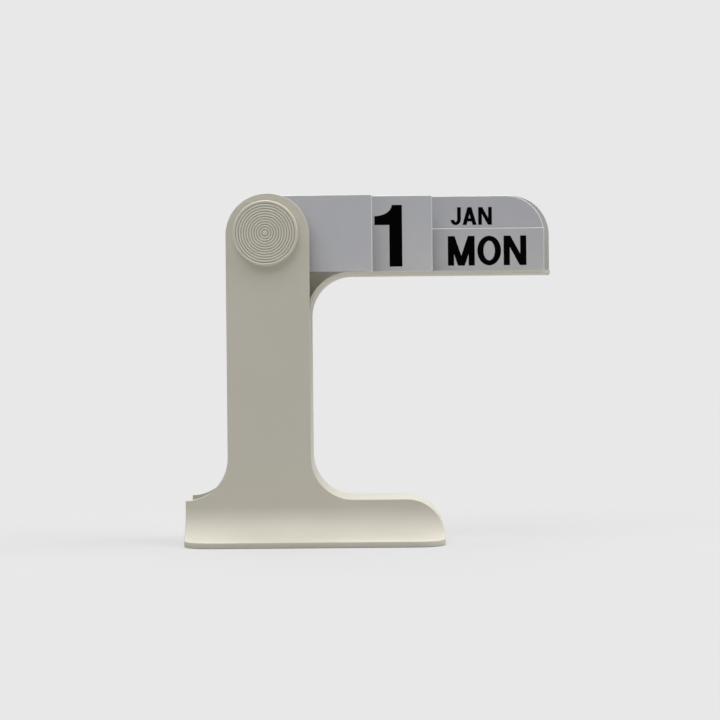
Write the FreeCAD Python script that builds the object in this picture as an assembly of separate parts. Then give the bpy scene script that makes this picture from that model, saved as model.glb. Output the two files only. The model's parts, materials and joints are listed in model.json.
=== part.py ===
import FreeCAD, Part
import os
from math import atan2, cos, hypot, pi, sin, sqrt

# Perpetual desk calendar: a moulded C-shaped stand holding 33 turning cards on one pin.
# Millimetres, +Z up, front towards -Y. Origin: middle of the footprint, on the table.

# Stand
TOTAL_HEIGHT = 163.6
COLUMN_WIDTH = 38.9
ARM_HEIGHT = 38.3
BASE_HEIGHT = 20.6
BASE_REACH = 81.6
SHEET = 2.8
STRIP = 1.5
BASE_SWEEP = 19.8
ARM_SWEEP = 19.25
BASE_END_RADIUS = 19.5
PANEL_CORNER = 18.9
PANEL_MARGIN = 3.2
LEDGE_MARGIN = 1.6
LEDGE_CORNER = 6.0
COVE_RIM = 3.1
FOOT_FLAT = 8.0
FOOT_CORNER = 13.0
SEAM = 0.1
WALL_EDGE = 1.2
WALL_ROOT = 0.4
ARRIS = 0.3

# Cards
CARD = 0.75
CARD_GAP = 0.3
STACK_END_GAP = 1.1
CARD_CLEARANCE = 0.25
CARD_INSET = 0.7
HANG_CLEARANCE = 13.7
TENS_FIELD = 29.4
UNITS_FIELD = 28.3
STEP_OVERLAP = 8.0
STEP_ABOVE_PIVOT = 2.6
STEP_FILLET = 2.0
MONTH_CORNER = 18.0

# Pin and end caps
PIN_DIAMETER = 5.0
PIN_CLEARANCE = 0.05
CAP_MARGIN = 4.15
CAP_HEIGHT = 3.0
CAP_SOCKET = 1.8
SOCKET_END_GAP = 0.3
CAP_RIM = 1.4
CAP_DISH = 0.5

# Card order, front to back, and the four cards on show
TENS = ["3", "2", "1", "blank"]
UNITS = ["9", "8", "7", "6", "5", "4", "3", "2", "1", "0"]
WEEKDAYS = ["7", "6", "5", "4", "3", "2", "1"]
MONTHS = ["01", "02", "03", "04", "05", "06", "07", "08", "09", "10", "11", "12"]
SHOWN = ["tens_card_blank", "units_card_1", "weekday_card_1", "month_card_01"]
STOW_TURN = 270

# Places worked out from the sizes above
TINY = 1e-4
CARD_COUNT = len(TENS) + len(UNITS) + len(WEEKDAYS) + len(MONTHS)
SLOT = CARD_COUNT * CARD + (CARD_COUNT - 1) * CARD_GAP + 2 * STACK_END_GAP
INNER = SLOT / 2
OUTER = INNER + SHEET
R = COLUMN_WIDTH / 2
ARC_Z = TOTAL_HEIGHT - R
ARM_Z = TOTAL_HEIGHT - ARM_HEIGHT
CARD_HALF = (min(ARM_HEIGHT, COLUMN_WIDTH) - STRIP - CARD_CLEARANCE - CARD_INSET) / 2
PIVOT_Z = ARM_Z + STRIP + CARD_CLEARANCE + CARD_HALF
PIVOT_TO_ARC = R - CARD_INSET - CARD_HALF
LONG_REACH = PIVOT_Z - HANG_CLEARANCE
TENS_REACH = PIVOT_TO_ARC + R + TENS_FIELD
UNITS_REACH = TENS_REACH + UNITS_FIELD
ARM_REACH = LONG_REACH - PIVOT_TO_ARC + PANEL_MARGIN
LEDGE_REACH = LONG_REACH - PIVOT_TO_ARC + LEDGE_MARGIN
ARC_X = (R + BASE_SWEEP - ARM_REACH) / 2
PIVOT_X = ARC_X - PIVOT_TO_ARC
COVE = BASE_HEIGHT - SHEET - COVE_RIM
FOOT_Y = OUTER + COVE + FOOT_FLAT
LEFT = ARC_X - R - BASE_SWEEP
BASE_END = ARC_X + BASE_REACH
ARM_END = ARC_X + ARM_REACH
LEDGE_END = ARC_X + LEDGE_REACH
END_ROUND = min(BASE_END_RADIUS, BASE_HEIGHT - SHEET)
PIVOT = FreeCAD.Vector(PIVOT_X, 0, PIVOT_Z)
TURN_AXIS = FreeCAD.Vector(0, -1, 0)


def front_view(u, v):
    return FreeCAD.Vector(u, 0, v)


def side_view(u, v):
    return FreeCAD.Vector(0, u, v)


def plan_view(u, v):
    return FreeCAD.Vector(u, v, 0)


def arc_edge(view, start, centre, end, turn):
    """Arc about centre from start to end; turn is +1 anticlockwise, -1 clockwise in the view."""
    first = atan2(start[1] - centre[1], start[0] - centre[0])
    last = atan2(end[1] - centre[1], end[0] - centre[0])
    sweep = (last - first) * turn % (2 * pi)
    middle = first + turn * sweep / 2
    radius = hypot(start[0] - centre[0], start[1] - centre[1])
    via = (centre[0] + radius * cos(middle), centre[1] + radius * sin(middle))
    return Part.Arc(view(*start), view(*via), view(*end)).toShape()


def face(view, start, *steps):
    """Closed face from a start point and steps: a point (line) or centre, end, turn (arc)."""
    edges = []
    here = start
    for step in steps + (start,):
        is_arc = len(step) == 3
        end = step[1] if is_arc else step
        if hypot(end[0] - here[0], end[1] - here[1]) < TINY:
            continue
        if is_arc:
            edges.append(arc_edge(view, here, step[0], end, step[2]))
        else:
            edges.append(Part.LineSegment(view(*here), view(*end)).toShape())
        here = end
    return Part.Face(Part.Wire(edges))


def prism_y(flat, low, high):
    solid = flat.extrude(FreeCAD.Vector(0, high - low, 0))
    solid.translate(FreeCAD.Vector(0, low, 0))
    return solid


def rod_y(radius, low, high):
    start = FreeCAD.Vector(PIVOT_X, low, PIVOT_Z)
    return Part.makeCylinder(radius, high - low, start, FreeCAD.Vector(0, 1, 0))


def tidy(solid):
    return solid.removeSplitter().Solids[0]


# Outlines of the two plates, seen from the front

def base_left_steps():
    sweep_top = BASE_HEIGHT + BASE_SWEEP
    return [
        (LEFT, BASE_HEIGHT),
        ((LEFT, sweep_top), (ARC_X - R, sweep_top), 1),
        (ARC_X - R, ARC_Z),
    ]


def base_right_steps():
    sweep_top = BASE_HEIGHT + BASE_SWEEP
    sweep_x = ARC_X + R + BASE_SWEEP
    round_x = BASE_END - END_ROUND
    round_z = BASE_HEIGHT - END_ROUND
    return [
        (ARC_X + R, sweep_top),
        ((sweep_x, sweep_top), (sweep_x, BASE_HEIGHT), 1),
        (round_x, BASE_HEIGHT),
        ((round_x, round_z), (BASE_END, round_z), -1),
        (BASE_END, 0),
    ]


def column_outline():
    top = [((ARC_X, ARC_Z), (ARC_X + R, ARC_Z), -1)]
    return face(front_view, (LEFT, 0), *base_left_steps(), *top, *base_right_steps())


def back_outline():
    corner = (ARM_END - PANEL_CORNER, TOTAL_HEIGHT - PANEL_CORNER)
    sweep = (ARC_X + R + ARM_SWEEP, ARM_Z - ARM_SWEEP)
    arm = [
        ((ARC_X, ARC_Z), (ARC_X, TOTAL_HEIGHT), -1),
        (corner[0], TOTAL_HEIGHT),
        (corner, (ARM_END, corner[1]), -1),
        (ARM_END, ARM_Z),
        (sweep[0], ARM_Z),
        (sweep, (ARC_X + R, sweep[1]), 1),
    ]
    return face(front_view, (LEFT, 0), *base_left_steps(), *arm, *base_right_steps())


# Stand: two bent sheets and the strip between them

def bent_sheet():
    """Front sheet in section: upright wall, cove, flat foot, all one thickness."""
    cove_z = SHEET + COVE
    cove = (-OUTER - COVE, cove_z)
    section = face(
        side_view,
        (-INNER, TOTAL_HEIGHT),
        (-OUTER, TOTAL_HEIGHT),
        (-OUTER, cove_z),
        (cove, (cove[0], SHEET), -1),
        (-FOOT_Y, SHEET),
        (-FOOT_Y, 0),
        (cove[0], 0),
        (cove, (-INNER, cove_z), 1),
    )
    sheet = section.extrude(FreeCAD.Vector(ARM_END - LEFT, 0, 0))
    sheet.translate(FreeCAD.Vector(LEFT, 0, 0))
    return sheet


def foot_plan():
    """Plan of the sheet's reach, rounded at the two outer corners of the foot."""
    plan = face(
        plan_view,
        (LEFT, 0),
        (LEFT, -FOOT_Y + FOOT_CORNER),
        ((LEFT + FOOT_CORNER, -FOOT_Y + FOOT_CORNER), (LEFT + FOOT_CORNER, -FOOT_Y), 1),
        (BASE_END - FOOT_CORNER, -FOOT_Y),
        ((BASE_END - FOOT_CORNER, -FOOT_Y + FOOT_CORNER), (BASE_END, -FOOT_Y + FOOT_CORNER), 1),
        (BASE_END, -OUTER),
        (ARM_END, -OUTER),
        (ARM_END, 0),
    )
    return plan.extrude(FreeCAD.Vector(0, 0, TOTAL_HEIGHT))


def outer_rim(sheet):
    """Edges round the sheet's outer side: its outline, the cove's ends and the foot's top edge."""
    rim = []
    for edge in sheet.Edges:
        box = edge.BoundBox
        along = box.XLength > COVE + FOOT_FLAT and box.ZLength < TINY
        smooth = along and abs(box.ZMin - SHEET - COVE) < TINY
        smooth = smooth or along and abs(box.YMax + OUTER + COVE) < TINY
        inside = box.YMax > -OUTER + TINY
        if not smooth and not inside and box.ZMin > TINY:
            rim.append(edge)
    return rim


def plate(outline):
    """Front plate with its foot, cut to an outline, its outer edges eased, bored for the pin."""
    blank = bent_sheet().common(foot_plan())
    cut = blank.common(prism_y(outline, -FOOT_Y, 0))
    eased = cut.makeChamfer(ARRIS, outer_rim(cut))
    return eased.cut(rod_y(PIN_DIAMETER / 2 + PIN_CLEARANCE, -FOOT_Y, 0))


def strip_outline():
    sweep = (ARC_X + R + ARM_SWEEP, ARM_Z - ARM_SWEEP)
    foot_sweep = (ARC_X + R + BASE_SWEEP, BASE_HEIGHT + BASE_SWEEP)
    end = (BASE_END - END_ROUND, BASE_HEIGHT - END_ROUND)
    inner_x = ARC_X + R - STRIP
    return face(
        front_view,
        (LEDGE_END, ARM_Z),
        (sweep[0], ARM_Z),
        (sweep, (ARC_X + R, sweep[1]), 1),
        (ARC_X + R, foot_sweep[1]),
        (foot_sweep, (foot_sweep[0], BASE_HEIGHT), 1),
        (end[0], BASE_HEIGHT),
        (end, (BASE_END, end[1]), -1),
        (BASE_END, 0),
        (BASE_END - STRIP, 0),
        (BASE_END - STRIP, end[1]),
        (end, (end[0], BASE_HEIGHT - STRIP), 1),
        (foot_sweep[0], BASE_HEIGHT - STRIP),
        (foot_sweep, (inner_x, foot_sweep[1]), -1),
        (inner_x, sweep[1]),
        (sweep, (sweep[0], ARM_Z + STRIP), -1),
        (LEDGE_END, ARM_Z + STRIP),
    )


def hollow_section():
    """Space between the two sheets in section: it widens under the coves, down to thin edges."""
    cove_z = SHEET + COVE
    cove_y = OUTER + COVE
    front_radius = COVE + SHEET + SEAM
    rear_radius = COVE + SHEET - WALL_ROOT
    front_edge = cove_y - sqrt(front_radius ** 2 - (cove_z - WALL_EDGE) ** 2)
    rear_edge = cove_y - sqrt(rear_radius ** 2 - (cove_z - WALL_EDGE) ** 2)
    return face(
        side_view,
        (-INNER, TOTAL_HEIGHT),
        (-INNER, cove_z),
        (-cove_y + front_radius, cove_z),
        ((-cove_y, cove_z), (-front_edge, WALL_EDGE), -1),
        (-front_edge, 0),
        (rear_edge, 0),
        (rear_edge, WALL_EDGE),
        ((cove_y, cove_z), (cove_y - rear_radius, cove_z), -1),
        (cove_y - rear_radius, TOTAL_HEIGHT),
    )


def strip():
    """Band from the ledge down the column to the base end, where it widens under the coves."""
    hollow = hollow_section().extrude(FreeCAD.Vector(ARM_END - LEFT, 0, 0))
    hollow.translate(FreeCAD.Vector(LEFT, 0, 0))
    band = prism_y(strip_outline(), -FOOT_Y, FOOT_Y).common(hollow)
    corner = (LEDGE_END - LEDGE_CORNER, -INNER + LEDGE_CORNER)
    plan = face(
        plan_view,
        (corner[0], -INNER),
        (corner, (LEDGE_END, corner[1]), 1),
        (ARM_END, corner[1]),
        (ARM_END, -INNER),
    )
    trim = plan.extrude(FreeCAD.Vector(0, 0, TOTAL_HEIGHT))
    return band.cut(trim)


def front_plate():
    return tidy(plate(column_outline()))


def rear_shell():
    back = plate(back_outline()).mirror(FreeCAD.Vector(0, 0, 0), FreeCAD.Vector(0, 1, 0))
    return tidy(back.fuse(strip()))


# Pin and its two caps

def pivot_pin():
    half = OUTER + CAP_SOCKET - SOCKET_END_GAP
    return rod_y(PIN_DIAMETER / 2, -half, half)


def cap():
    """Front cap: a turned disc, dished inside a raised rim, with a socket for the pin behind."""
    radius = R - CAP_MARGIN
    socket = PIN_DIAMETER / 2 + PIN_CLEARANCE
    tip = -OUTER - CAP_HEIGHT
    section = face(
        lambda u, v: FreeCAD.Vector(PIVOT_X + u, v, PIVOT_Z),
        (socket, -OUTER),
        (radius, -OUTER),
        (radius, tip),
        (radius - CAP_RIM, tip),
        (radius - CAP_RIM - CAP_DISH, tip + CAP_DISH),
        (0, tip + CAP_DISH),
        (0, -OUTER - CAP_SOCKET),
        (socket, -OUTER - CAP_SOCKET),
    )
    return section.revolve(PIVOT, FreeCAD.Vector(0, 1, 0), 360)


# Cards, drawn as shown on the ledge: along +X from the pin

def card_outline(kind):
    low = PIVOT_Z - CARD_HALF
    high = PIVOT_Z + CARD_HALF
    end = PIVOT_X + {"tens": TENS_REACH, "units": UNITS_REACH}.get(kind, LONG_REACH)
    steps = [(end, low)]
    if kind == "weekday":
        step_z = PIVOT_Z + STEP_ABOVE_PIVOT
        step_x = PIVOT_X + UNITS_REACH - STEP_OVERLAP
        inside = (step_x + STEP_FILLET, step_z + STEP_FILLET)
        steps += [(end, step_z), (inside[0], step_z)]
        steps += [(inside, (step_x, inside[1]), -1), (step_x, high)]
    elif kind == "month":
        corner = (end - MONTH_CORNER, high - MONTH_CORNER)
        steps += [(end, corner[1]), (corner, (corner[0], high), 1)]
    else:
        steps += [(end, high)]
    steps += [(PIVOT_X, high), ((PIVOT_X, PIVOT_Z), (PIVOT_X, low), 1)]
    return face(front_view, (PIVOT_X, low), *steps)


def card(kind, name, place):
    front = -INNER + STACK_END_GAP + place * (CARD + CARD_GAP)
    blank = prism_y(card_outline(kind), front, front + CARD)
    shape = blank.cut(rod_y(PIN_DIAMETER / 2 + PIN_CLEARANCE, -INNER, INNER))
    if name not in SHOWN:
        shape.rotate(PIVOT, TURN_AXIS, STOW_TURN)
    return shape.Solids[0]


def all_cards():
    named = [("tens", mark) for mark in TENS]
    named += [("units", mark) for mark in UNITS]
    named += [("weekday", mark) for mark in WEEKDAYS]
    named += [("month", mark) for mark in MONTHS]
    cards = {}
    for place, (kind, mark) in enumerate(named):
        name = kind + "_card_" + mark
        cards[name] = card(kind, name, place)
    return cards


front_cap = cap()
nodes = {
    "rear_shell": rear_shell(),
    "front_plate": front_plate(),
    "pivot_pin": pivot_pin(),
    "front_cap": front_cap,
    "rear_cap": front_cap.mirror(FreeCAD.Vector(0, 0, 0), FreeCAD.Vector(0, 1, 0)),
}
nodes.update(all_cards())

os.makedirs("parts", exist_ok=True)
for name, shape in nodes.items():
    shape.exportStep("parts/" + name + ".step")
    print(name, shape.ShapeType, shape.isValid(), round(shape.Volume, 1))
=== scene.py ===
# %% [markdown]
# A perpetual desk calendar. Thirty-three thin cards turn on one steel pin in a moulded C-shaped stand.
# Four of them are turned out onto a ledge and show the date, and the rest hang inside the column.
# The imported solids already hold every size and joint, so this lesson only dresses them: soft edges,
# moulded plastic, printed sheet, numerals and words, the ringed caps, and then light and a camera.

import json
from math import cos, pi, radians, sin

import bmesh
import bpy
from mathutils import Matrix, Vector
from mathutils.geometry import delaunay_2d_cdt


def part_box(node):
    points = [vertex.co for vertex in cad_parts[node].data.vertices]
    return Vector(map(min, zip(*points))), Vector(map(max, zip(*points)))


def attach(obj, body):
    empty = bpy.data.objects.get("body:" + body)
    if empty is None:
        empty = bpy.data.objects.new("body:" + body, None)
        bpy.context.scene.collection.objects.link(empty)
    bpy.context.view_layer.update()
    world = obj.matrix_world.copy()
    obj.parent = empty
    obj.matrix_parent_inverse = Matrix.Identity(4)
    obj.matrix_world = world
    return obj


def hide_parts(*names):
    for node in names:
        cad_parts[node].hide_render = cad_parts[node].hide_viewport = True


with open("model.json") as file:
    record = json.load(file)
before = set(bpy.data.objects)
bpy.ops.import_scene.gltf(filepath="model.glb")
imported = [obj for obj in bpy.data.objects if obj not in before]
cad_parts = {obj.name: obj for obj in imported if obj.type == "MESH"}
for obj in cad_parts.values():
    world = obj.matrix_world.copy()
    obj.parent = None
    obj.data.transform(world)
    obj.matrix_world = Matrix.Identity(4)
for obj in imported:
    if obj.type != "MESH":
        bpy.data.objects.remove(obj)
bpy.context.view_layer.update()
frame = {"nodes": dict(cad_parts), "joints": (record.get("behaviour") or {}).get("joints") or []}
nodes = frame["nodes"]

# %% [markdown]
# Everything is placed from the frame. All the cards turn about the same pin, so any card's joint gives
# the pin's place and axis. A card that is turned out reaches far past the pin towards +X, and a card
# that is put away hangs below it, so the boxes of the solids say which is which.

# %% Pin and cards
MM = 0.001
PIN = Vector(frame["joints"][0]["pos_m"])
PIN_AXIS = Vector(frame["joints"][0]["axis"])

cards = [joint["child"] for joint in frame["joints"]]
shown_cards = [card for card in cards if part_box(card)[1].x - PIN.x > PIN.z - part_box(card)[0].z]
print(len(cards), "cards, on show:", ", ".join(shown_cards))

# %% [markdown]
# Shaders work with linear light, while colours are easiest to read as sRGB hex, so one function turns
# one into the other. Another adds a node, sets its properties, and links or fills its inputs.
# Patterns are given by their size in millimetres, and a texture's scale is how many fit in a metre.

# %% Colour and node helpers
# A noise texture seldom leaves this range, so a finish is spread over it.
NOISE_LOW = 0.3
NOISE_HIGH = 0.7
# The Mix node has one set of sockets for each kind of value; these are its colour sockets.
MIX_A = 6
MIX_B = 7
MIX_RESULT = 2


def linear(code):
    """Linear red, green, blue and alpha of a hex colour, by the curve of the sRGB standard."""
    shares = [int(code[i:i + 2], 16) / 255 for i in (1, 3, 5)]
    return [s / 12.92 if s < 0.04045 else ((s + 0.055) / 1.055) ** 2.4 for s in shares] + [1.0]


def set_inputs(tree, node, inputs):
    """Link each named input to the output given for it, or fill it with the value given."""
    for name, value in inputs.items():
        if isinstance(value, bpy.types.NodeSocket):
            tree.links.new(value, node.inputs[name])
        else:
            node.inputs[name].default_value = value


def add_node(tree, kind, inputs, **settings):
    node = tree.nodes.new(kind)
    for name, value in settings.items():
        setattr(node, name, value)
    set_inputs(tree, node, inputs)
    return node


def new_material(name):
    material = bpy.data.materials.new(name)
    material.use_nodes = True
    return material, material.node_tree, material.node_tree.nodes["Principled BSDF"]


def per_metre(size_mm):
    return 1 / (size_mm * MM)


print("mid grey #808080 is", round(linear("#808080")[0], 3), "of white in linear light")

# %% [markdown]
# The stand is ABS, injection moulded against a steel tool that was given a fine spark-eroded texture.
# That makes it satin: highlights spread wide, with no sharp reflections. Up close the tone drifts a
# little where the plastic flowed, and the gloss is uneven. Object coordinates are used, because the
# solids have no UV map, and they stay with a piece when it turns. The caps get a paler copy of the
# ABS: painted light, which brightens them against the shade in their rings.

# %% Moulded ABS
STAND_LIGHT = "#DCD8CB"
STAND_DEEP = "#D6D1C3"
# Painted light: the caps' tones are paler than the stand's, to brighten them against the shade in their
# rings.
CAP_LIGHT_WITH_PAINTED_LIGHT = "#EAE5D6"
CAP_DEEP_WITH_PAINTED_LIGHT = "#E4DFD0"
ABS_IOR = 1.54
ABS_SMOOTHEST = 0.50
ABS_ROUGHEST = 0.62
FLOW_MM = 26
GLOSS_MM = 5
# Real spark erosion is about 0.1 mm, too fine for this picture, so it is drawn coarser.
GRAIN_MM = 0.7
GRAIN_DETAIL = 3
GRAIN_DEPTH_MM = 0.02
GRAIN_STRENGTH = 0.6


def moulded_abs(name, light, deep):
    material, tree, shader = new_material(name)
    place = add_node(tree, "ShaderNodeTexCoord", {}).outputs["Object"]
    flow = add_node(tree, "ShaderNodeTexNoise", {"Vector": place, "Scale": per_metre(FLOW_MM)})
    gloss = add_node(tree, "ShaderNodeTexNoise", {"Vector": place, "Scale": per_metre(GLOSS_MM)})
    grain = add_node(
        tree, "ShaderNodeTexNoise",
        {"Vector": place, "Scale": per_metre(GRAIN_MM), "Detail": GRAIN_DETAIL},
    )
    tone = add_node(
        tree, "ShaderNodeMix",
        {"Factor": flow.outputs["Fac"], MIX_A: linear(light), MIX_B: linear(deep)},
        data_type="RGBA",
    )
    satin = add_node(tree, "ShaderNodeMapRange", {
        "Value": gloss.outputs["Fac"],
        "From Min": NOISE_LOW,
        "From Max": NOISE_HIGH,
        "To Min": ABS_SMOOTHEST,
        "To Max": ABS_ROUGHEST,
    })
    relief = add_node(
        tree, "ShaderNodeBump",
        {"Height": grain.outputs["Fac"], "Distance": GRAIN_DEPTH_MM * MM, "Strength": GRAIN_STRENGTH},
    )
    set_inputs(tree, shader, {
        "Base Color": tone.outputs[MIX_RESULT],
        "Roughness": satin.outputs["Result"],
        "Normal": relief.outputs["Normal"],
        "IOR": ABS_IOR,
    })
    return material


STAND_ABS = moulded_abs("moulded_abs_stand", STAND_LIGHT, STAND_DEEP)
CAP_ABS_PAINTED_LIGHT_AND_SHADE = moulded_abs("moulded_abs_cap_painted_light_and_shade", CAP_LIGHT_WITH_PAINTED_LIGHT, CAP_DEEP_WITH_PAINTED_LIGHT)
print("made", STAND_ABS.name, "and", CAP_ABS_PAINTED_LIGHT_AND_SHADE.name)

# %% [markdown]
# The cards are white PVC sheet, screen printed grey all over and then die cut. The print lies on the two
# faces only, and the cut edge shows the white sheet, which is why a thin pale line runs round each card.
# The shader finds the edge by the surface's direction: a face looks along Y, and the edge doesn't.
# The long cards, for days and months, get a slightly deeper grey than the date cards.

# %% Printed PVC sheet
DATE_GREY = "#CDCED3"
DATE_DEEP = "#C8C9CE"
LONG_GREY = "#C6C7CD"
LONG_DEEP = "#C1C2C8"
SHEET_WHITE = "#F1F0EC"
PVC_IOR = 1.53
PVC_SMOOTHEST = 0.40
PVC_ROUGHEST = 0.50
PRINT_MOTTLE_MM = 9
# How squarely a surface has to look along Y for the print to begin there, and to be full.
PRINT_BEGINS = 0.97
PRINT_IS_FULL = 0.995
# Screen mesh leaves about 0.1 mm of texture in the ink, drawn coarser to show.
SCREEN_MM = 0.6
SCREEN_DEPTH_MM = 0.008
SCREEN_STRENGTH = 0.6


def printed_pvc(name, light_grey, deep_grey):
    material, tree, shader = new_material(name)
    coordinates = add_node(tree, "ShaderNodeTexCoord", {})
    place = coordinates.outputs["Object"]
    mottle = add_node(tree, "ShaderNodeTexNoise", {"Vector": place, "Scale": per_metre(PRINT_MOTTLE_MM)})
    screen = add_node(tree, "ShaderNodeTexNoise", {"Vector": place, "Scale": per_metre(SCREEN_MM)})
    direction = add_node(tree, "ShaderNodeSeparateXYZ", {"Vector": coordinates.outputs["Normal"]})
    facing = add_node(tree, "ShaderNodeMath", {0: direction.outputs["Y"]}, operation="ABSOLUTE")
    printed = add_node(
        tree, "ShaderNodeMapRange",
        {"Value": facing.outputs[0], "From Min": PRINT_BEGINS, "From Max": PRINT_IS_FULL},
    )
    grey = add_node(
        tree, "ShaderNodeMix",
        {"Factor": mottle.outputs["Fac"], MIX_A: linear(light_grey), MIX_B: linear(deep_grey)},
        data_type="RGBA",
    )
    colour = add_node(
        tree, "ShaderNodeMix",
        {"Factor": printed.outputs["Result"], MIX_A: linear(SHEET_WHITE), MIX_B: grey.outputs[MIX_RESULT]},
        data_type="RGBA",
    )
    satin = add_node(tree, "ShaderNodeMapRange", {
        "Value": mottle.outputs["Fac"],
        "From Min": NOISE_LOW,
        "From Max": NOISE_HIGH,
        "To Min": PVC_SMOOTHEST,
        "To Max": PVC_ROUGHEST,
    })
    relief = add_node(
        tree, "ShaderNodeBump",
        {"Height": screen.outputs["Fac"], "Distance": SCREEN_DEPTH_MM * MM, "Strength": SCREEN_STRENGTH},
    )
    set_inputs(tree, shader, {
        "Base Color": colour.outputs[MIX_RESULT],
        "Roughness": satin.outputs["Result"],
        "Normal": relief.outputs["Normal"],
        "IOR": PVC_IOR,
    })
    return material


DATE_PVC = printed_pvc("printed_pvc_date", DATE_GREY, DATE_DEEP)
LONG_PVC = printed_pvc("printed_pvc_long", LONG_GREY, LONG_DEEP)
print("made", DATE_PVC.name, "and", LONG_PVC.name)

# %% [markdown]
# The back panel of the arm closes the bay that the cards lie in, and its inner face carries the same kind
# of grey print, so the end of it that shows beside the cards looks like part of the row. The moulding
# stays one piece, so one material does both: the print lies where the surface looks to the front, above
# the foot of the cards and to the right of the pin. The cards hide its border at the pin.

# %% Printed bay
BAY_GREY = "#D3D2CF"
# A surface looks to the front where the Y of its normal is below this.
LOOKS_FRONT = -0.9


def print_bay(material, left, foot):
    tree = material.node_tree
    shader = tree.nodes["Principled BSDF"]
    bare = shader.inputs["Base Color"].links[0].from_socket
    coordinates = add_node(tree, "ShaderNodeTexCoord", {})
    place = add_node(tree, "ShaderNodeSeparateXYZ", {"Vector": coordinates.outputs["Object"]})
    direction = add_node(tree, "ShaderNodeSeparateXYZ", {"Vector": coordinates.outputs["Normal"]})
    tests = [
        (direction.outputs["Y"], "LESS_THAN", LOOKS_FRONT),
        (place.outputs["X"], "GREATER_THAN", left),
        (place.outputs["Z"], "GREATER_THAN", foot),
    ]
    printed = 1.0
    for value, test, limit in tests:
        passed = add_node(tree, "ShaderNodeMath", {0: value, 1: limit}, operation=test)
        all_passed = add_node(
            tree, "ShaderNodeMath", {0: printed, 1: passed.outputs[0]}, operation="MULTIPLY",
        )
        printed = all_passed.outputs[0]
    colour = add_node(
        tree, "ShaderNodeMix",
        {"Factor": printed, MIX_A: bare, MIX_B: linear(BAY_GREY)},
        data_type="RGBA",
    )
    set_inputs(tree, shader, {"Base Color": colour.outputs[MIX_RESULT]})


card_foot = min(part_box(card)[0].z for card in shown_cards)
REAR_ABS = moulded_abs("moulded_abs_rear", STAND_LIGHT, STAND_DEEP)
print_bay(REAR_ABS, PIN.x, card_foot)
print("printed the bay above", round(card_foot / MM, 1), "mm")

# %% [markdown]
# The numerals and words are a second, black pass of screen ink. It is thick and almost matt, with the
# slightly pebbled face of ink that dried on plastic.

# %% Black screen ink
INK_BLACK = "#020202"
INK_GREY = "#050505"
INK_IOR = 1.5
INK_SHINE = 0.01
INK_SMOOTHEST = 0.50
INK_ROUGHEST = 0.60
INK_PEBBLE_MM = 0.8
INK_PEBBLE_DEPTH_MM = 0.006
INK_PEBBLE_STRENGTH = 0.5


def screen_ink():
    material, tree, shader = new_material("black_screen_ink")
    place = add_node(tree, "ShaderNodeTexCoord", {}).outputs["Object"]
    pebble = add_node(tree, "ShaderNodeTexNoise", {"Vector": place, "Scale": per_metre(INK_PEBBLE_MM)})
    tone = add_node(
        tree, "ShaderNodeMix",
        {"Factor": pebble.outputs["Fac"], MIX_A: linear(INK_BLACK), MIX_B: linear(INK_GREY)},
        data_type="RGBA",
    )
    matt = add_node(tree, "ShaderNodeMapRange", {
        "Value": pebble.outputs["Fac"],
        "From Min": NOISE_LOW,
        "From Max": NOISE_HIGH,
        "To Min": INK_SMOOTHEST,
        "To Max": INK_ROUGHEST,
    })
    relief = add_node(tree, "ShaderNodeBump", {
        "Height": pebble.outputs["Fac"],
        "Distance": INK_PEBBLE_DEPTH_MM * MM,
        "Strength": INK_PEBBLE_STRENGTH,
    })
    set_inputs(tree, shader, {
        "Base Color": tone.outputs[MIX_RESULT],
        "Roughness": matt.outputs["Result"],
        "Normal": relief.outputs["Normal"],
        "IOR": INK_IOR,
        "Specular IOR Level": INK_SHINE,
    })
    return material


INK = screen_ink()
print("made", INK.name)

# %% [markdown]
# The pin is bright drawn steel rod. Drawing pulls the rod through a die, which leaves faint scratches
# along it, so the noise is stretched along Y, the rod's own direction.

# %% Drawn steel
STEEL_GREY = "#B9B9B7"
STEEL_SMOOTHEST = 0.22
STEEL_ROUGHEST = 0.42
DRAW_LINE_MM = 0.3
DRAW_STRETCH = 0.02


def drawn_steel():
    material, tree, shader = new_material("drawn_steel")
    place = add_node(tree, "ShaderNodeTexCoord", {}).outputs["Object"]
    along = add_node(tree, "ShaderNodeMapping", {"Vector": place, "Scale": (1, DRAW_STRETCH, 1)})
    lines = add_node(
        tree, "ShaderNodeTexNoise",
        {"Vector": along.outputs["Vector"], "Scale": per_metre(DRAW_LINE_MM)},
    )
    polish = add_node(
        tree, "ShaderNodeMapRange",
        {"Value": lines.outputs["Fac"], "To Min": STEEL_SMOOTHEST, "To Max": STEEL_ROUGHEST},
    )
    set_inputs(tree, shader, {
        "Base Color": linear(STEEL_GREY),
        "Roughness": polish.outputs["Result"],
        "Metallic": 1.0,
    })
    return material


STEEL = drawn_steel()
print("made", STEEL.name)

# %% [markdown]
# A moulded or die-cut edge is never razor sharp, and the narrow round on it catches the light. The
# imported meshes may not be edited, but modifiers on them are fine: weld the split edges, dissolve the
# flat triangles into whole faces, bevel what is still sharp, and weight the normals by face area so
# that the flats stay flat. A stand edge gets a small round, and a card edge is rounded nearly through.

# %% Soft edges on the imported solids
WELD_MM = 0.001
STAND_ROUND_MM = 0.3
STAND_ROUND_STEPS = 2
CARD_ROUND_MM = 0.34
CARD_ROUND_STEPS = 3
# Degrees between two faces that count as one flat, and between two that make a sharp edge.
FLAT_ANGLE = 0.5
SHARP_ANGLE = 50


def soften(node, round_mm, steps):
    weld = node.modifiers.new("weld", "WELD")
    weld.merge_threshold = WELD_MM * MM
    flats = node.modifiers.new("flats", "DECIMATE")
    flats.decimate_type = "DISSOLVE"
    flats.angle_limit = radians(FLAT_ANGLE)
    rounded = node.modifiers.new("rounded", "BEVEL")
    rounded.width = round_mm * MM
    rounded.segments = steps
    rounded.limit_method = "ANGLE"
    rounded.angle_limit = radians(SHARP_ANGLE)
    shading = node.modifiers.new("shading", "WEIGHTED_NORMAL")
    shading.keep_sharp = False


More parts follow.
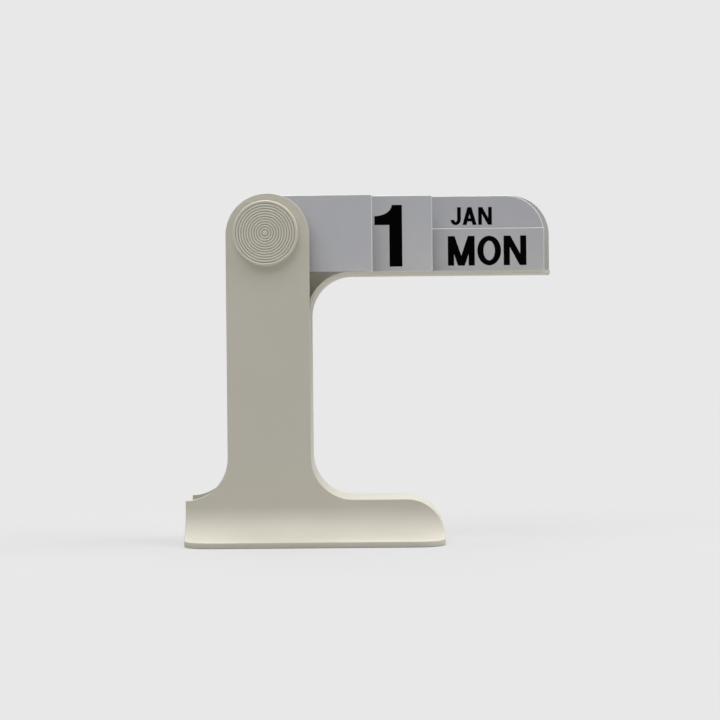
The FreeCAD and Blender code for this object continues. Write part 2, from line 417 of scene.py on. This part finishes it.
def finish_node(name, material, round_mm, steps):
    node = nodes[name]
    node.data.materials.clear()
    node.data.materials.append(material)
    soften(node, round_mm, steps)


stand_finishes = {"front_plate": STAND_ABS, "rear_shell": REAR_ABS, "pivot_pin": STEEL}
for name, material in stand_finishes.items():
    finish_node(name, material, STAND_ROUND_MM, STAND_ROUND_STEPS)
for name in cards:
    material = DATE_PVC if name.startswith(("tens", "units")) else LONG_PVC
    finish_node(name, material, CARD_ROUND_MM, CARD_ROUND_STEPS)
print("softened", len(stand_finishes) + len(cards), "solids")

# %% [markdown]
# Each end of the pin carries a cap with fine rings inside a plain raised rim. The solid cap is a bare
# dish, so a turned shape replaces it: a profile that is swept round the pin. The profile is a list of
# radius and height, from the pin's socket over the rim to the middle. The rings are a row of
# round-backed ridges, half a sine wave each, that meet in sharp grooves.

# %% Cap profile
CAP_ARRIS_MM = 0.8
CAP_RIM_MM = 1.6
CAP_RING_PITCH_MM = 1.215
CAP_RING_DEPTH_MM = 0.35
CAP_RING_SUNK_MM = 0.05
CAP_CENTRE_MM = 1.5
CAP_SOCKET_DEPTH_MM = 1.8
POINTS_PER_RING = 12
POINTS_PER_ROUND = 5


def half_width_mm(node):
    low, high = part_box(node)
    return (high.x - low.x) / 2 / MM


def quarter_round(centre_radius, centre_height, radius):
    """From the side of a rim up to its top."""
    turns = [pi / 2 * i / POINTS_PER_ROUND for i in range(POINTS_PER_ROUND + 1)]
    return [(centre_radius + radius * cos(t), centre_height + radius * sin(t)) for t in turns]


def half_wave(crest, trough):
    """Points between a crest and a trough, without the two ends."""
    steps = [i / POINTS_PER_ROUND for i in range(1, POINTS_PER_ROUND)]
    falls = [0.5 - 0.5 * cos(pi * s) for s in steps]
    return [
        (crest[0] + (trough[0] - crest[0]) * s, crest[1] + (trough[1] - crest[1]) * fall)
        for s, fall in zip(steps, falls)
    ]


def ring_count(outer_mm):
    return int((outer_mm - CAP_CENTRE_MM) / CAP_RING_PITCH_MM)


def ring_profile(outer_mm, top_mm):
    """Rings from the rim inwards: a whole number of ridges, starting and ending at a groove."""
    points = []
    for i in range(ring_count(outer_mm) * POINTS_PER_RING + 1):
        radius = outer_mm - i * CAP_RING_PITCH_MM / POINTS_PER_RING
        groove = 1 - abs(sin(pi * i / POINTS_PER_RING))
        points.append((radius, top_mm - CAP_RING_DEPTH_MM * groove))
    return points


def cap_profile(radius_mm, height_mm, socket_mm):
    crown = radius_mm - CAP_ARRIS_MM
    socket = [(0, CAP_SOCKET_DEPTH_MM), (socket_mm, CAP_SOCKET_DEPTH_MM), (socket_mm, 0)]
    rim_out = quarter_round(crown, height_mm - CAP_ARRIS_MM, CAP_ARRIS_MM)
    crest = height_mm - CAP_RING_SUNK_MM
    rings = ring_profile(radius_mm - CAP_RIM_MM, crest)
    rim_in = half_wave((crown, height_mm), rings[0])
    boss = rings[-1][0] - CAP_RING_PITCH_MM / 2
    boss_rise = half_wave((boss, crest), rings[-1])[::-1]
    boss_top = [(boss, crest), (boss / 2, crest), (0, crest)]
    return socket + [(radius_mm, 0)] + rim_out + rim_in + rings + boss_rise + boss_top


cap_radius_mm = half_width_mm("front_cap")
print("a cap of", round(cap_radius_mm, 2), "mm with", ring_count(cap_radius_mm - CAP_RIM_MM), "rings")

# %% [markdown]
# Sweeping is a loop: each point of the profile makes one circle of corners about the pin, and faces join
# each circle to the next. A point on the axis makes a single corner, and its faces are triangles. The
# finished cap rides on the stand and takes the place of the solid one.

# %% Turned caps
CAP_STEPS = 160


def add_piece(name, shape, material):
    """Put a finished shape into the scene as an object of one material."""
    mesh = bpy.data.meshes.new(name)
    shape.to_mesh(mesh)
    shape.free()
    mesh.materials.append(material)
    piece = bpy.data.objects.new(name, mesh)
    bpy.context.scene.collection.objects.link(piece)
    return piece


def turned_shape(profile, seat_y, side):
    """Sweep the profile round the pin; side is -1 at the front and +1 at the back."""
    shape = bmesh.new()
    circles = []
    for radius, height in profile:
        y = seat_y + side * height * MM
        steps = CAP_STEPS if radius > 0 else 1
        turns = [2 * pi * i / steps for i in range(steps)]
        spots = [(PIN.x + radius * MM * cos(t), y, PIN.z + radius * MM * sin(t)) for t in turns]
        circles.append([shape.verts.new(spot) for spot in spots])
    for first, second in zip(circles, circles[1:]):
        for i in range(CAP_STEPS):
            following = (i + 1) % CAP_STEPS
            if len(first) == 1:
                shape.faces.new((first[0], second[i], second[following]))
            elif len(second) == 1:
                shape.faces.new((first[i], first[following], second[0]))
            else:
                shape.faces.new((first[i], first[following], second[following], second[i]))
    bmesh.ops.recalc_face_normals(shape, faces=shape.faces)
    for face in shape.faces:
        face.smooth = True
    return shape


def ringed_cap(node, side):
    low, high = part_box(node)
    profile = cap_profile(half_width_mm(node), (high.y - low.y) / MM, half_width_mm("pivot_pin"))
    seat_y = high.y if side < 0 else low.y
    cap = add_piece(node + "_ringed", turned_shape(profile, seat_y, side), CAP_ABS_PAINTED_LIGHT_AND_SHADE)
    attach(cap, "stand")
    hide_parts(node)
    return cap


for node, side in (("front_cap", -1), ("rear_cap", 1)):
    cap = ringed_cap(node, side)
    print(cap.name, len(cap.data.polygons), "faces")

# %% [markdown]
# The grooves of a cap get painted shade, a dark colour mixed in, because the shade of the relief
# itself shows too little at this size. The distance from the pin says where a point lies between two
# grooves, and a cosine of that distance is 1 in a groove and -1 on a ridge.

# %% Painted shade in the grooves
# Painted shade: this dark colour, mixed into the grooves of the caps, stands in for the shade deep in
# them.
GROOVE_SHADE = "#6E675A"
GROOVE_SHADE_SHARE = 0.6
GROOVE_SHADE_FADES_AT = -0.2
# Past the first and the last groove the distance is held this many rings on, where a trace of the painted
# shade is left.
GROOVE_SHADE_HELD_AT = 0.25


# Paints shade into the grooves of a cap's material.
def paint_groove_shade(material, radius_mm):
    tree = material.node_tree
    shader = tree.nodes["Principled BSDF"]
    unshaded = shader.inputs["Base Color"].links[0].from_socket
    pitch = CAP_RING_PITCH_MM * MM
    first = (radius_mm - CAP_RIM_MM) * MM
    last = first - ring_count(radius_mm - CAP_RIM_MM) * pitch
    place = add_node(tree, "ShaderNodeTexCoord", {}).outputs["Object"]
    from_pin = add_node(tree, "ShaderNodeVectorMath", {0: place, 1: PIN}, operation="SUBTRACT")
    across = add_node(
        tree, "ShaderNodeVectorMath", {0: from_pin.outputs[0], 1: (1, 0, 1)}, operation="MULTIPLY",
    )
    radius = add_node(tree, "ShaderNodeVectorMath", {0: across.outputs[0]}, operation="LENGTH")
    ringed = add_node(tree, "ShaderNodeClamp", {
        "Value": radius.outputs["Value"],
        "Min": last - GROOVE_SHADE_HELD_AT * pitch,
        "Max": first + GROOVE_SHADE_HELD_AT * pitch,
    })
    inwards = add_node(tree, "ShaderNodeMath", {0: first, 1: ringed.outputs[0]}, operation="SUBTRACT")
    turn = add_node(
        tree, "ShaderNodeMath", {0: inwards.outputs[0], 1: 2 * pi / pitch}, operation="MULTIPLY",
    )
    wave = add_node(tree, "ShaderNodeMath", {0: turn.outputs[0]}, operation="COSINE")
    share = add_node(
        tree, "ShaderNodeMapRange",
        {"Value": wave.outputs[0], "From Min": GROOVE_SHADE_FADES_AT, "From Max": 1.0, "To Max": GROOVE_SHADE_SHARE},
    )
    groove_shaded = add_node(
        tree, "ShaderNodeMix",
        {"Factor": share.outputs["Result"], MIX_A: unshaded, MIX_B: linear(GROOVE_SHADE)},
        data_type="RGBA",
    )
    set_inputs(tree, shader, {"Base Color": groove_shaded.outputs[MIX_RESULT]})


paint_groove_shade(CAP_ABS_PAINTED_LIGHT_AND_SHADE, cap_radius_mm)
print("shaded_grooves_of", CAP_ABS_PAINTED_LIGHT_AND_SHADE.name)

# %% [markdown]
# The lettering is a plain bold sans of our own, drawn on a unit cap height. Every letter is a few simple
# strokes: an upright, a beam, a slanted bar or part of an oval band. Overlapping strokes would leave
# double faces, so a constrained triangulation merges them and keeps only what lies inside a stroke.

# %% Strokes
# Widths are shares of the cap height, and angles are in degrees.
STEM = 0.207
BEAM = 0.17
LEAN = 0.228
ARC_STEP = 7.5


def block(left, right, low, high):
    return [(left, low), (right, low), (right, high), (left, high)]


def stem(left, low=0.0, high=1.0):
    return block(left, left + STEM, low, high)


def beam(left, right, low):
    return block(left, right, low, low + BEAM)


def lean(foot, head, low=0.0, high=1.0, width=LEAN):
    return [(foot, low), (foot + width, low), (head + width, high), (head, high)]


def band(x, y, wide, tall, start, end):
    """Part of an oval band about (x, y), from one angle to another, anticlockwise."""
    count = max(2, round((end - start) / ARC_STEP))
    turns = [radians(start + (end - start) * i / count) for i in range(count + 1)]
    outside = [(x + wide * cos(t), y + tall * sin(t)) for t in turns]
    inside = [(x + (wide - STEM) * cos(t), y + (tall - BEAM) * sin(t)) for t in reversed(turns)]
    return outside + inside


def oval(x, y, wide, tall):
    return [band(x, y, wide, tall, 0, 180), band(x, y, wide, tall, 180, 360)]


def hollow(wide, deep):
    """A quarter of an oval cut out of the corner at (0, 1), from the top edge round to the left edge."""
    count = round(90 / ARC_STEP)
    turns = [radians(90 * i / count) for i in range(count + 1)]
    return [(wide * cos(t), 1 - deep * sin(t)) for t in turns]


def turned_over(strokes):
    widest = max(x for stroke in strokes for x, y in stroke)
    return [[(widest - x, 1 - y) for x, y in stroke] for stroke in strokes]


print("an upright is", STEM, "and a beam", BEAM, "of the cap height")

# %% [markdown]
# One entry for each numeral and for each letter that the twelve months and seven days need. All of them
# stand on 0 and reach 1, and their left edge is at 0, so words can be set by adding up widths.

# %% Numerals and letters
TOP = 1 - BEAM
MIDDLE = 0.42
# The four bars of a W have to be slimmer than other slanted bars.
SLIM = 0.2

SIX = oval(0.30, 0.32, 0.30, 0.32) + [stem(0, 0.32, 0.5), band(0.34, 0.5, 0.34, 0.5, 52, 180)]
LETTER_P = [stem(0), beam(0.1, 0.38, TOP), beam(0.1, 0.38, 0.40), band(0.38, 0.70, 0.30, 0.30, -90, 90)]
GLYPHS = {
    "0": oval(0.29, 0.5, 0.29, 0.5),
    "1": [[(0.24, 0), (0.447, 0), (0.447, 1)] + hollow(0.28, 0.18) + [(0, 0.676), (0.24, 0.676)]],
    "2": [
        band(0.285, 0.70, 0.285, 0.30, -30, 180),
        [(0.532, 0.55), (0.363, 0.632), (0, 0.165), (0, 0), (0.15, 0), (0.27, 0.165)],
        beam(0, 0.57, 0),
    ],
    "3": [
        band(0.28, 0.735, 0.27, 0.265, -90, 165),
        band(0.28, 0.29, 0.29, 0.29, -165, 90),
        block(0.17, 0.29, 0.43, 0.60),
    ],
    "4": [
        stem(0.34),
        beam(0, 0.61, 0.2),
        [(0, 0.36), (0, 0.41), (0.35, 1), (0.44, 1), (0.44, 0.76), (0.19, 0.36)],
    ],
    "5": [
        beam(0.09, 0.55, TOP),
        [(0.03, 0.44), (0.22, 0.44), (0.26, 1), (0.09, 1)],
        band(0.28, 0.325, 0.30, 0.325, -165, 128),
    ],
    "6": SIX,
    "7": [beam(0, 0.57, TOP), lean(0.10, 0.355, 0, 0.84)],
    "8": oval(0.29, 0.745, 0.255, 0.255) + oval(0.29, 0.285, 0.29, 0.285),
    "9": turned_over(SIX),
    "A": [lean(0, 0.285), lean(0.57, 0.285), beam(0.15, 0.63, 0.20)],
    "B": [
        stem(0),
        beam(0.1, 0.40, TOP),
        beam(0.1, 0.42, MIDDLE),
        beam(0.1, 0.42, 0),
        band(0.40, 0.745, 0.29, 0.255, -90, 90),
        band(0.42, 0.2925, 0.31, 0.2925, -90, 90),
    ],
    "C": [band(0.39, 0.5, 0.39, 0.5, 38, 322)],
    "D": [stem(0), beam(0.1, 0.36, TOP), beam(0.1, 0.36, 0), band(0.36, 0.5, 0.39, 0.5, -90, 90)],
    "E": [stem(0), beam(0.1, 0.63, TOP), beam(0.1, 0.59, MIDDLE), beam(0.1, 0.65, 0)],
    "F": [stem(0), beam(0.1, 0.61, TOP), beam(0.1, 0.56, MIDDLE)],
    "G": [band(0.40, 0.5, 0.40, 0.5, 38, 320), beam(0.43, 0.79, 0.38), block(0.64, 0.79, 0, 0.5)],
    "H": [stem(0), stem(0.55), beam(0.1, 0.65, MIDDLE)],
    "I": [stem(0)],
    "J": [stem(0.365, 0.29), band(0.28, 0.29, 0.28, 0.29, 180, 360)],
    "L": [stem(0), beam(0.1, 0.60, 0)],
    "M": [stem(0), stem(0.70), lean(0.34, 0), lean(0.34, 0.68)],
    "N": [stem(0), stem(0.56), lean(0.54, 0)],
    "O": oval(0.40, 0.5, 0.40, 0.5),
    "P": LETTER_P,
    "R": LETTER_P + [lean(0.49, 0.27, 0, 0.45)],
    "S": [band(0.33, 0.72, 0.31, 0.28, 22, 270), band(0.33, 0.29, 0.33, 0.29, -158, 90)],
    "T": [beam(0, 0.66, TOP), stem(0.2325)],
    "U": [stem(0, 0.34), stem(0.55, 0.34), band(0.3725, 0.34, 0.3725, 0.34, 180, 360)],
    "V": [lean(0.28, 0), lean(0.28, 0.56)],
    "W": [
        lean(0.205, 0, width=SLIM),
        lean(0.205, 0.41, width=SLIM),
        lean(0.615, 0.41, width=SLIM),
        lean(0.615, 0.82, width=SLIM),
    ],
    "Y": [lean(0.27, 0, 0.42, 1), lean(0.27, 0.54, 0.42, 1), block(0.28, 0.475, 0, 0.44)],
}
print(len(GLYPHS), "glyphs")

# %% [markdown]
# A word is its letters side by side. The merged outline lies flat at first; dissolving the triangles
# leaves clean faces, and a thin extrusion makes a real film of ink, sunk a hair into the card so that
# no two faces share a plane.

# %% Ink shapes
LETTER_SPACE = 0.09
FILM_MM = 0.03
FILM_SUNK_MM = 0.01
# Points of two strokes that are closer than this, in cap heights, become one.
MERGE_DISTANCE = 1e-5
# Degrees by which two triangles may differ and still become one face.
SAME_FACE_ANGLE = 1


def set_word(text):
    strokes = []
    cursor = 0
    for letter in text:
        glyph = GLYPHS[letter]
        strokes += [[(cursor + x, y) for x, y in stroke] for stroke in glyph]
        cursor += max(x for stroke in glyph for x, y in stroke) + LETTER_SPACE
    return strokes, cursor - LETTER_SPACE


def merged_triangles(strokes):
    points = [Vector(point) for stroke in strokes for point in stroke]
    outlines = []
    start = 0
    for stroke in strokes:
        outlines.append(list(range(start, start + len(stroke))))
        start += len(stroke)
    spots, edges, faces, from_points, from_edges, from_strokes = delaunay_2d_cdt(
        points, [], outlines, 0, MERGE_DISTANCE
    )
    return spots, [face for face, inside in zip(faces, from_strokes) if inside]


def ink_piece(name, text, height_mm):
    """Lettering on a card at the origin: it reads along X, stands along Z and faces -Y."""
    strokes, width = set_word(text)
    spots, triangles = merged_triangles(strokes)
    size = height_mm * MM
    shape = bmesh.new()
    corners = [shape.verts.new((x * size, FILM_SUNK_MM * MM, y * size)) for x, y in spots]
    for triangle in triangles:
        shape.faces.new([corners[i] for i in triangle])
    bmesh.ops.delete(shape, geom=[v for v in shape.verts if not v.link_faces], context="VERTS")
    bmesh.ops.dissolve_limit(
        shape, angle_limit=radians(SAME_FACE_ANGLE), verts=shape.verts, edges=shape.edges,
    )
    film = bmesh.ops.extrude_face_region(shape, geom=shape.faces[:])
    lifted = [part for part in film["geom"] if isinstance(part, bmesh.types.BMVert)]
    bmesh.ops.translate(shape, verts=lifted, vec=(0, -(FILM_MM + FILM_SUNK_MM) * MM, 0))
    bmesh.ops.recalc_face_normals(shape, faces=shape.faces)
    return add_piece(name, shape, INK), width * height_mm


print("the word MON is", round(set_word("MON")[1], 2), "cap heights wide")

# %% [markdown]
# What each card says is plain: tens and units of the date, and short names of the days and months. The
# places are measured from the pin along the card and up from the pin's height. A card that is put away
# has been turned about the pin, so its lettering is set first and then turned in the same way.

# %% Letter the cards
DATE_HEIGHT_MM = 29.1
DATE_FOOT_MM = -15.6
TENS_RIGHT_MM = 48.2
UNITS_LEFT_MM = 50.75
DAY_HEIGHT_MM = 14.05
DAY_FOOT_MM = -15.2
DAY_LEFT_MM = 85.5
MONTH_HEIGHT_MM = 8.45
MONTH_FOOT_MM = 4.15
MONTH_LEFT_MM = 87.0
# Degrees about the pin from the ledge, over the top and down into the column.
PUT_AWAY_TURN = 270
DAYS = ["MON", "TUE", "WED", "THU", "FRI", "SAT", "SUN"]
MONTHS = ["JAN", "FEB", "MAR", "APR", "MAY", "JUN", "JUL", "AUG", "SEP", "OCT", "NOV", "DEC"]


def card_text(card):
    """The word on a card, its height, its foot above the pin, and its left edge or None if set right."""
    kind, _, mark = card.partition("_card_")
    if kind == "weekday":
        return DAYS[int(mark) - 1], DAY_HEIGHT_MM, DAY_FOOT_MM, DAY_LEFT_MM
    if kind == "month":
        return MONTHS[int(mark) - 1], MONTH_HEIGHT_MM, MONTH_FOOT_MM, MONTH_LEFT_MM
    if kind == "units":
        return mark, DATE_HEIGHT_MM, DATE_FOOT_MM, UNITS_LEFT_MM
    return mark, DATE_HEIGHT_MM, DATE_FOOT_MM, None


def letter_card(card):
    text, height, foot, left = card_text(card)
    ink, width = ink_piece("ink_" + card, text, height)
    if left is None:
        left = TENS_RIGHT_MM - width
    face_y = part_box(card)[0].y
    turn = 0 if card in shown_cards else radians(PUT_AWAY_TURN)
    set_out = Matrix.Translation((left * MM, 0, foot * MM))
    on_card = Matrix.Translation((PIN.x, face_y, PIN.z)) @ Matrix.Rotation(turn, 4, PIN_AXIS) @ set_out
    ink.data.transform(on_card)
    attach(ink, card)
    return ink


lettered = [letter_card(card) for card in cards if not card.endswith("blank")]
print("lettered", len(lettered), "cards")

# %% [markdown]
# The studio floor is a wide sheet of pale paper that runs on to the horizon. It shows the camera a share
# of the backdrop's own tone, which keeps the shadows on it as faint as they are in a white studio, while
# the light that it throws back onto the object stays that of a plain grey sheet.

# %% Paper
PAPER = "#D1D1D1"
PAPER_BOUNCE = "#B4B4B4"
PAPER_ROUGHNESS = 0.9
PAPER_GLOW = 0.6
PAPER_REACH_M = 40
BACKDROP = "#E8E8E8"


def seen_as_background(tree):
    """1 for a ray from the camera or from a shiny or clear surface, and 0 for light thrown back."""
    ray = add_node(tree, "ShaderNodeLightPath", {})
    seen = ray.outputs["Is Camera Ray"]
    for kind in ("Is Glossy Ray", "Is Transmission Ray"):
        either = add_node(tree, "ShaderNodeMath", {0: seen, 1: ray.outputs[kind]}, operation="MAXIMUM")
        seen = either.outputs[0]
    return seen


def pale_paper():
    material, tree, shader = new_material("studio_paper")
    seen = seen_as_background(tree)
    tone = add_node(
        tree, "ShaderNodeMix",
        {"Factor": seen, MIX_A: linear(PAPER_BOUNCE), MIX_B: linear(PAPER)},
        data_type="RGBA",
    )
    set_inputs(tree, shader, {
        "Base Color": tone.outputs[MIX_RESULT],
        "Roughness": PAPER_ROUGHNESS,
        "Specular IOR Level": 0.0,
    })
    pale = add_node(tree, "ShaderNodeEmission", {"Color": linear(BACKDROP)})
    share = add_node(tree, "ShaderNodeMath", {0: seen, 1: PAPER_GLOW}, operation="MULTIPLY")
    mixed = add_node(
        tree, "ShaderNodeMixShader",
        {0: share.outputs[0], 1: shader.outputs["BSDF"], 2: pale.outputs["Emission"]},
    )
    set_inputs(tree, tree.nodes["Material Output"], {"Surface": mixed.outputs["Shader"]})
    return material


sheet = bmesh.new()
sides = [(-1, -1), (1, -1), (1, 1), (-1, 1)]
sheet.faces.new([sheet.verts.new((x * PAPER_REACH_M, y * PAPER_REACH_M, 0)) for x, y in sides])
paper = add_piece("paper", sheet, pale_paper())
print("paper", 2 * PAPER_REACH_M, "m wide")

# %% [markdown]
# Beyond the paper the world shows the camera the same pale tone, so no horizon can be seen. To the
# object it gives only a little light, because the soft boxes do the lighting.

# %% World
WORLD_WHITE = "#FFFFFF"
WORLD_LIGHT = 0.02


def studio_world():
    world = bpy.data.worlds.new("studio")
    world.use_nodes = True
    tree = world.node_tree
    pale = tree.nodes["Background"]
    set_inputs(tree, pale, {"Color": linear(BACKDROP)})
    light = add_node(
        tree, "ShaderNodeBackground", {"Color": linear(WORLD_WHITE), "Strength": WORLD_LIGHT},
    )
    mixed = add_node(
        tree, "ShaderNodeMixShader",
        {0: seen_as_background(tree), 1: light.outputs["Background"], 2: pale.outputs["Background"]},
    )
    set_inputs(tree, tree.nodes["World Output"], {"Surface": mixed.outputs["Shader"]})
    return world


bpy.context.scene.world = studio_world()
print("world shows", BACKDROP)

# %% [markdown]
# Four soft boxes light the object: one overhead, one high at the back, one high at the front left, and
# one about halfway down at the right. A sun lamp with a very large disc acts as such a box, and it lights
# the paper evenly everywhere. The Standard view shows the colours as they were chosen.

# %% Soft boxes
# Degrees that a box spans, as seen from the object.
BOX_DISC = 50
# Name, light on a face square to the box, and degrees from overhead towards the front and the right.
SOFT_BOXES = [
    ("top_box", 0.26, 0, 0),
    ("back_box", 0.34, -30, 0),
    ("front_left_box", 0.42, 25, -22),
    ("right_box", 0.50, 0, 47),
]


def soft_box(name, light, to_front, to_right):
    lamp = bpy.data.lights.new(name, "SUN")
    # A white face square to a sun of strength pi renders as 1.
    lamp.energy = light * pi
    lamp.angle = radians(BOX_DISC)
    box = bpy.data.objects.new(name, lamp)
    box.rotation_euler = (radians(to_front), radians(to_right), 0)
    bpy.context.scene.collection.objects.link(box)


for box in SOFT_BOXES:
    soft_box(*box)
bpy.context.scene.view_settings.view_transform = "Standard"
print("lit by", len(SOFT_BOXES), "soft boxes")

# %% [markdown]
# The photograph looks as if it was taken with a long lens from a little over a metre, almost straight on,
# level with the middle of the column or a little above, and with the camera leaning half a degree. A
# long lens keeps the two plates of the stand nearly the same size.

# %% Camera
LENS_MM = 118.5
SENSOR_MM = 36
CAMERA_PLACE_MM = (9.3, -1124.5, 97.5)
# Degrees. A camera that isn't turned looks straight down, and a quarter turn makes it look level.
LEVEL = 90
CAMERA_DIP = 0.619
CAMERA_LEAN = 0.538
CAMERA_SWING = 0.711

lens = bpy.data.cameras.new("camera")
lens.lens = LENS_MM
lens.sensor_width = SENSOR_MM
camera = bpy.data.objects.new("camera", lens)
camera.location = [c * MM for c in CAMERA_PLACE_MM]
camera.rotation_euler = (radians(LEVEL - CAMERA_DIP), radians(CAMERA_LEAN), radians(CAMERA_SWING))
bpy.context.scene.collection.objects.link(camera)
bpy.context.scene.camera = camera
print("camera at", CAMERA_PLACE_MM, "mm")
